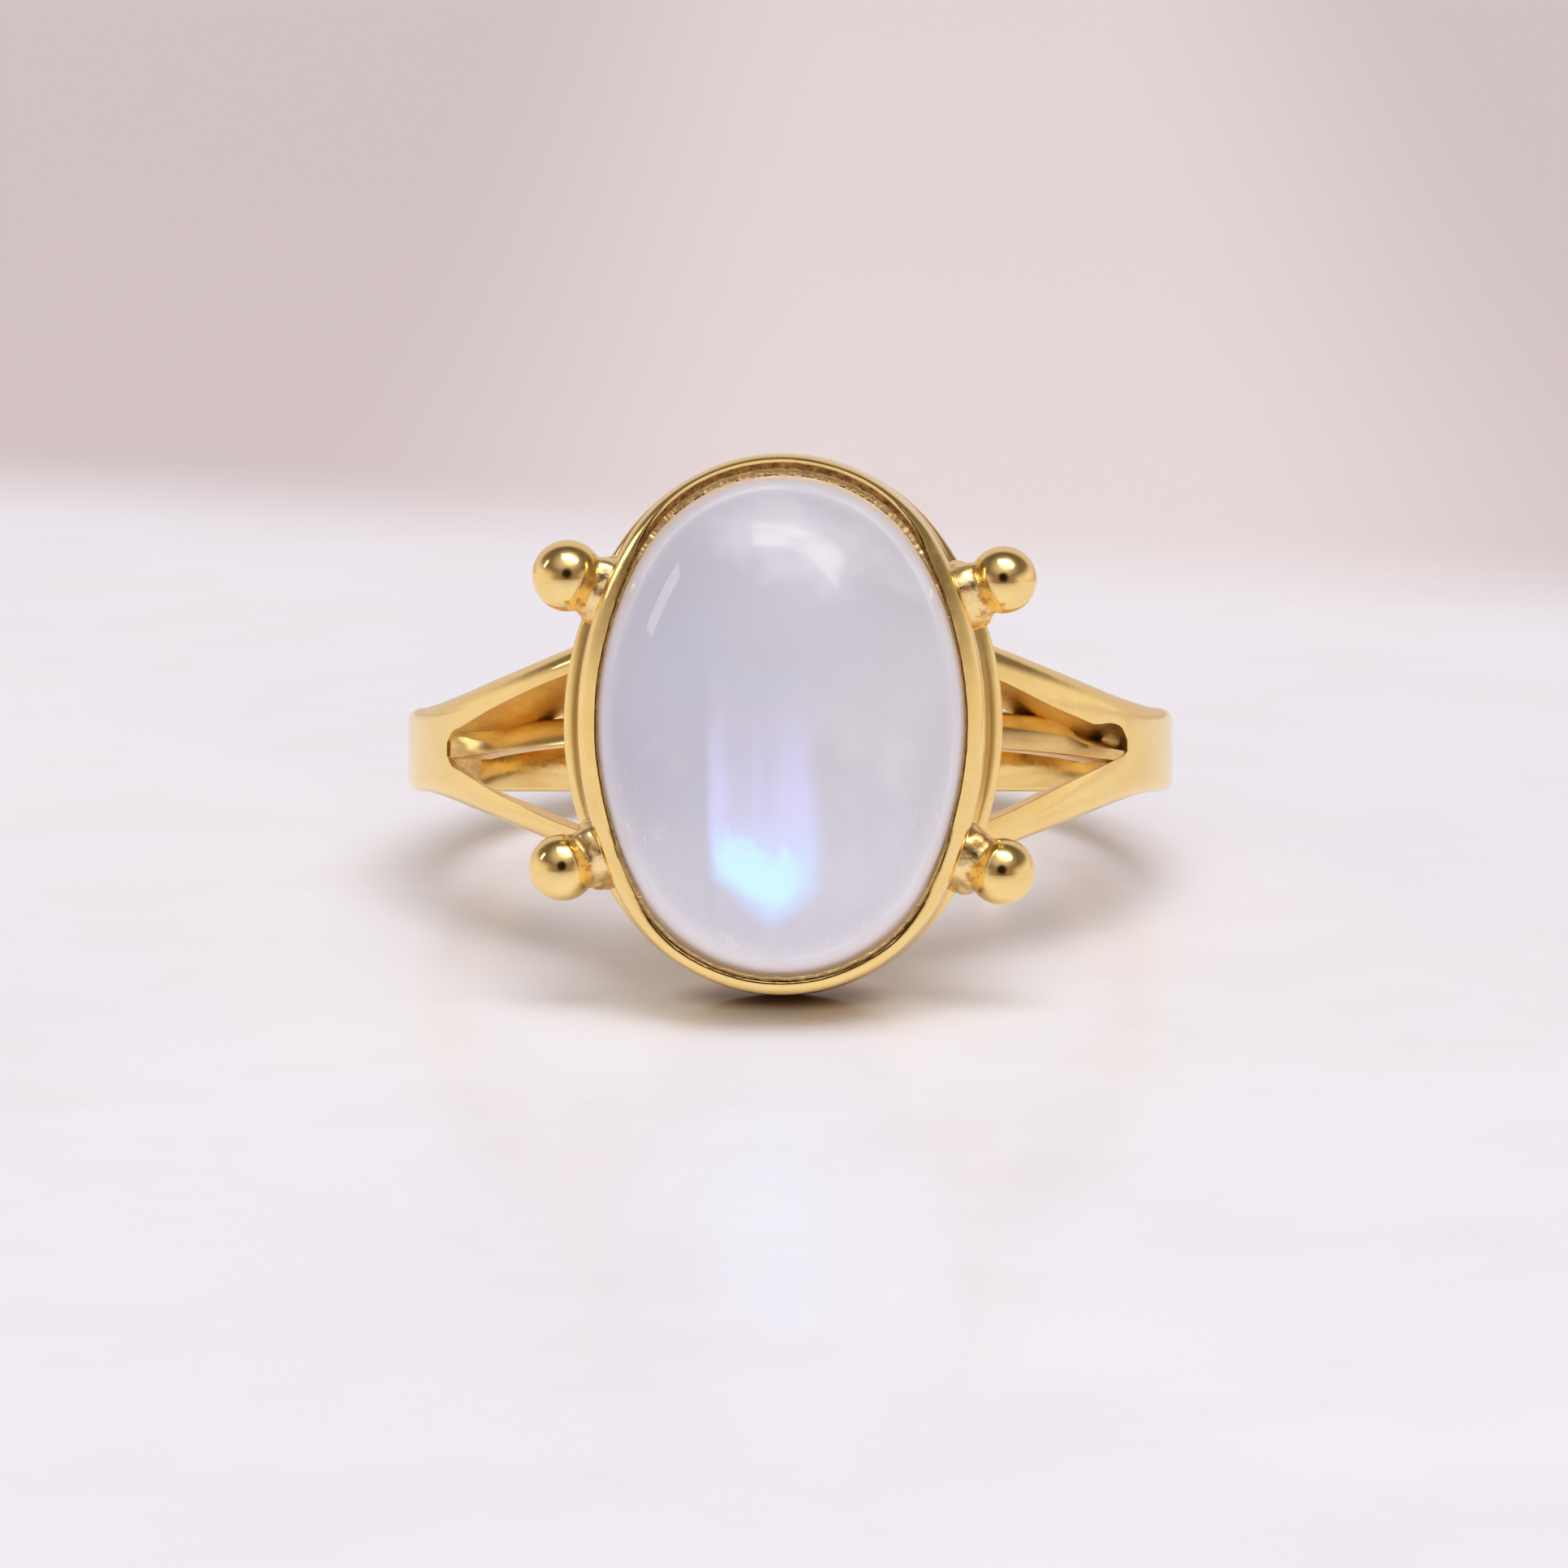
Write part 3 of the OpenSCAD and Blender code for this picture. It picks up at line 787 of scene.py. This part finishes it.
def make_bezel(gold, flange_and_shade_gold, seam):
    """The wall round the stone, its rolled lip, and the lip's ragged edge pressed on the stone."""
    bm = bmesh.new()
    outline = [(0.41, WALL_FOOT)] + list(LIP_AT_SIDES) + [(d, deep) for d, deep, _ in UNDER_LIP]
    section = chain(bm, [(SPUN_R + d, LIP_Z - deep) for d, deep in outline], True)
    turned(bm, section, (0, 0, 1), BEZEL_STEPS)
    welded(bm)
    # steps are counted from the lip's first, so the wall's outer foot is -1
    steps = {(round(d, 3), round(deep, 3)): i - 1 for i, (d, deep) in enumerate(outline)}

    def step_of(v):
        return steps[(round(math.hypot(v.co.x, v.co.y) - SPUN_R, 3), round(LIP_Z - v.co.z, 3))]

    step_at = {v: step_of(v) for v in bm.verts}
    for face in bm.faces:
        corners = [step_at[v] for v in face.verts]
        middle = face.calc_center_median()
        level = middle.y / math.hypot(middle.x, middle.y)
        # along the ragged edge lies the dark seam, and inside it the flange pressed on the stone
        seam_from = 13 if abs(level) < 0.35 else 12
        seam_to = 15 if level > -0.35 else 13
        if seam_from <= min(corners) < LIP_STEPS - 1 and max(corners) <= LIP_STEPS:
            face.material_index = 2 if min(corners) < seam_to else 1
    for v in bm.verts:
        step = step_at[v]
        out, turn = math.hypot(v.co.x, v.co.y) - SPUN_R, math.atan2(v.co.y, v.co.x)
        top = eased_between(math.sin(turn), 0.25, 0.9)
        foot = eased_between(-math.sin(turn), 0.2, 0.8)
        if 0 <= step < LIP_STEPS:
            d, deep = lip_point(step, turn, top, foot)
        else:
            d, deep = out, LIP_Z - v.co.z
            if step >= LIP_STEPS:
                d += foot * UNDER_LIP[step - LIP_STEPS][2]
        v.co.x *= (SPUN_R + d) / (SPUN_R + out)
        v.co.y *= (SPUN_R + d) / (SPUN_R + out)
        v.co.z = LIP_Z - max(0.0, deep)
    moved_onto_oval(bm, STONE_OVAL)
    onto_head(bm)
    return finished(bm, "bezel", (gold, flange_and_shade_gold, seam), "ring_mount", 50)


def melted(bm, name):
    """The one skin round all that is in bm, in voxels of a few hundredths of a millimetre."""
    mesh = bpy.data.meshes.new(name)
    bm.to_mesh(mesh)
    bm.free()
    melt = bpy.data.objects.new(name, mesh)
    bpy.context.scene.collection.objects.link(melt)
    skin = melt.modifiers.new("melt", "REMESH")
    skin.mode = "VOXEL"
    skin.voxel_size = 0.032
    fused = melt.evaluated_get(bpy.context.evaluated_depsgraph_get()).to_mesh()
    bm = bmesh.new()
    bm.from_mesh(fused)
    bpy.data.objects.remove(melt)
    bpy.data.meshes.remove(mesh)
    return bm


def make_ball(gold, soldered, name, side, end, size, shift):
    """A ball soldered to the bezel: ball and lumps melted into one skin, then smoothed."""
    bm = bmesh.new()
    centre = Vector((0, BALL_OUT, 0))
    # along the stem, in radii from the ball's middle: where the skin starts to turn round,
    # where it is the ball's own, and where the solder's colour ends
    turns_round, is_round, is_gold = -0.62, -0.42, -0.52
    lumpy, smoothings = 0.15, 40
    lumps = [(BALL_OUT, 0, 0, size)] + [(out, up * end, front, r) for out, up, front, r in SOLDER]
    for i, (out, up, front, r) in enumerate(lumps):
        place = Matrix.Translation((-up, out, front)) @ Matrix.Scale(r, 4)
        made = bmesh.ops.create_icosphere(bm, subdivisions=4, radius=1, matrix=place)["verts"]
        if i:
            seed = Vector((side * 3, i, end * 5))
            for v in made:
                v.co += (v.co - place.translation) * lumpy * noise.noise(v.co * 1.9 + seed)
    bm = melted(bm, name + "_melt")
    for _ in range(smoothings):
        bmesh.ops.smooth_vert(
            bm, verts=bm.verts, factor=0.5, use_axis_x=True, use_axis_y=True, use_axis_z=True
        )
    for v in bm.verts:
        away = v.co - centre
        round_part = eased_between(away.y, turns_round * size, is_round * size)
        v.co = centre + away * (1 + round_part * (size / away.length - 1))
    for face in bm.faces:
        if face.calc_center_median().y < centre.y + is_gold * size:
            face.material_index = 1
    middle, r = oval_arc(0, STONE_OVAL)
    onto_side = (
        Matrix.Translation((middle.x, 0, BASE_TOP + BALL_UP))
        @ Matrix.Rotation(math.radians(BALL_ANGLE), 4, "Z")
        @ Matrix.Translation((r, 0, 0))
        @ Matrix.Rotation(math.radians(-90), 4, "Z")
    )
    bm.transform(Matrix.Diagonal((side, end, 1, 1)) @ onto_side)
    bmesh.ops.translate(bm, verts=bm.verts, vec=Vector((0, HEAD_SHIFT, 0)) + Vector(shift))
    return finished(bm, name, (gold, soldered), "ring_mount", 80)


def make_stone(stone):
    """An oval dome: half its outline turned round the long axis, lowered, and cut flat below."""
    bm = bmesh.new()
    steps, width = 128, STONE_OVAL[1]
    outline = []
    for i in range(steps + 1):
        turn = math.pi * (0.5 - i / steps)
        centre, r = oval_arc(turn, STONE_OVAL)
        outline.append((centre.y + r * math.sin(turn), max(0.0, centre.x + r * math.cos(turn))))
    turned(bm, chain(bm, outline, False), (0, 1, 0), 2 * steps)
    welded(bm)
    bmesh.ops.scale(bm, verts=bm.verts, vec=(1, 1, 2 * DOME_H / width))
    bmesh.ops.bisect_plane(
        bm, geom=bm.verts[:] + bm.edges[:] + bm.faces[:], dist=0.0001,
        plane_co=(0, 0, -STONE_FOOT), plane_no=(0, 0, -1), clear_outer=True,
    )
    bmesh.ops.translate(bm, verts=bm.verts, vec=(0, HEAD_SHIFT, GIRDLE_Z))
    return finished(bm, "cabochon", (stone,), "moonstone")


# ---------------------------------------------------------------- making
gold = polished_gold()
rough_gold = unpolished_gold("unpolished_gold", *AS_CAST)
# the pressed gold is the flange's own colour on the bezel, and painted shade on the shank's far
# walls
flange_and_shade_gold = unpolished_gold("flange_and_shade_gold", *PRESSED_AND_SHADE)
soldered = soldered_gold()
make_shank(gold, rough_gold, flange_and_shade_gold)
make_bar(dull_gold(), rough_gold)
make_base(gold)
make_bezel(gold, flange_and_shade_gold, dark_seam())
for name, place_and_size in BALLS.items():
    make_ball(gold, soldered, name, *place_and_size)
make_stone(milky_stone())


# ---------------------------------------------------------------- floor, light and camera
def make_floor():
    bm = bmesh.new()
    bmesh.ops.create_grid(bm, x_segments=1, y_segments=1, size=1.5)
    mesh = bpy.data.meshes.new("floor")
    bm.to_mesh(mesh)
    bm.free()
    mesh.materials.append(pale_floor())
    floor = bpy.data.objects.new("floor", mesh)
    bpy.context.scene.collection.objects.link(floor)


def window_pane(tree, towards, sideways, back, high):
    """A slanting patch overhead, broken by soft streaks."""
    turned_streaks = add(tree, "Mapping", Scale=(0.5, 2.2, 0.6), Rotation=(0, 0, 0.35))
    tree.links.new(towards, turned_streaks.inputs["Vector"])
    noises = add(tree, "TexNoise", Scale=5.0, Detail=4.0)
    tree.links.new(turned_streaks.outputs["Vector"], noises.inputs["Vector"])
    streaks = noises.outputs["Fac"]
    above = sums(tree, "MAXIMUM", high, 0.05)
    u, v = sums(tree, "DIVIDE", sideways, above), sums(tree, "DIVIDE", back, above)
    wavy = times_plus(tree, streaks, 0.16, times_plus(tree, u, 0.28, v))
    pane = times(
        tree, hump(tree, wavy, (-0.40, -0.33), (0.06, -0.06)),
        hump(tree, u, (-0.30, -0.22), (0.72, 0.58)),
    )
    return times(tree, pane, between(tree, streaks, 0.22, 0.55), eased(tree, high, 0.1, 0.2))


def studio_air():
    """Light from all round: bright low down at the sides and behind, dim on the camera's side
    and overhead, with a hazy window overhead and a dark spot in front."""
    world = bpy.data.worlds.new("studio")
    bpy.context.scene.world = world
    world.use_nodes = True
    tree = world.node_tree
    towards = add(tree, "TexCoord").outputs["Generated"]
    sideways, back, high = axes_of(tree, towards)
    around = ramp(tree, between(tree, back, -1.0, 1.0), FRONT_TO_BACK)
    upward = blended(tree, eased(tree, back, 0.42, 0.7), ramp(tree, high, LOW_TO_HIGH), BEHIND)
    air = blended(tree, 1.0, around, upward, "MULTIPLY")
    pane = window_pane(tree, towards, sideways, back, high)
    haze = eased(tree, distance(tree, towards, (0.02, -0.50, 0.86)), 0.92, 0.2)
    skirt = eased(tree, distance(tree, towards, (0.16, -0.33, 0.93)), 0.50, 0.16)
    haze = times_plus(tree, skirt, SKIRT_POWER, times(tree, haze, HAZE_POWER))
    bright = times_plus(tree, pane, PANE_POWER, haze)
    air = blended(tree, 1.0, air, blended(tree, 1.0, PANE_WHITE, bright, "MULTIPLY"), "ADD")
    spot = eased(tree, distance(tree, towards, (0, -1, 0.38)), 0.40, 0.17)
    air = blended(tree, spot, air, DARK_SPOT)
    backing = tree.nodes["Background"]
    backing.inputs["Strength"].default_value = 1.0
    tree.links.new(air, backing.inputs["Color"])


def softbox(name, place, width, height, power, mirrored, colour=WHITE):
    """A flat lamp, placed in metres, that looks at the ring's head. One that isn't mirrored
    leaves the gold alone."""
    light = bpy.data.lights.new(name, "AREA")
    light.shape = "RECTANGLE"
    light.size, light.size_y = width, height
    light.energy, light.color = power, colour
    lamp = bpy.data.objects.new(name, light)
    bpy.context.scene.collection.objects.link(lamp)
    aim = (Vector(place) - Vector((0, -0.007, 0.007))).to_track_quat("Z", "Y").to_matrix()
    lamp.matrix_world = Matrix.Translation(place) @ aim.to_4x4()
    lamp.visible_glossy = mirrored


def make_camera():
    """The photo's view: eye and aim in millimetres on the ring, focal length in the photo's
    pixels, turned so that the finger hole's axis stands upright in the picture."""
    eye, aim = AS_IT_LIES @ Vector((2.9, -0.86, 162.4)), AS_IT_LIES @ Vector((-0.16, -0.86, 0))
    photo_width, focal_length, sensor = 1932, 7950, 36
    camera = bpy.data.objects.new("camera", bpy.data.cameras.new("camera"))
    bpy.context.scene.collection.objects.link(camera)
    look = (aim - eye).normalized()
    across = look.cross(along).normalized()
    turn = Matrix((across, across.cross(look), -look)).transposed().to_4x4()
    camera.matrix_world = Matrix.Translation(eye) @ turn
    camera.data.sensor_width = sensor
    camera.data.lens = sensor * focal_length / photo_width
    camera.data.clip_start = 0.01
    return camera


make_floor()
studio_air()
softbox("window_left", (-0.43, -0.01, 0.255), 0.07, 0.15, 0.085, True)
softbox("soft_window", (0.06, -0.14, 0.5), 0.35, 0.30, 0.32, False, COOL)
softbox("soft_front", (0.0, -0.5, 0.35), 0.6, 0.4, 0.78, False, COOL)
softbox("soft_above", (0.0, 0.05, 0.6), 0.5, 0.5, 0.15, False, COOL)
bpy.context.scene.camera = make_camera()
bpy.context.scene.view_settings.view_transform = "Standard"
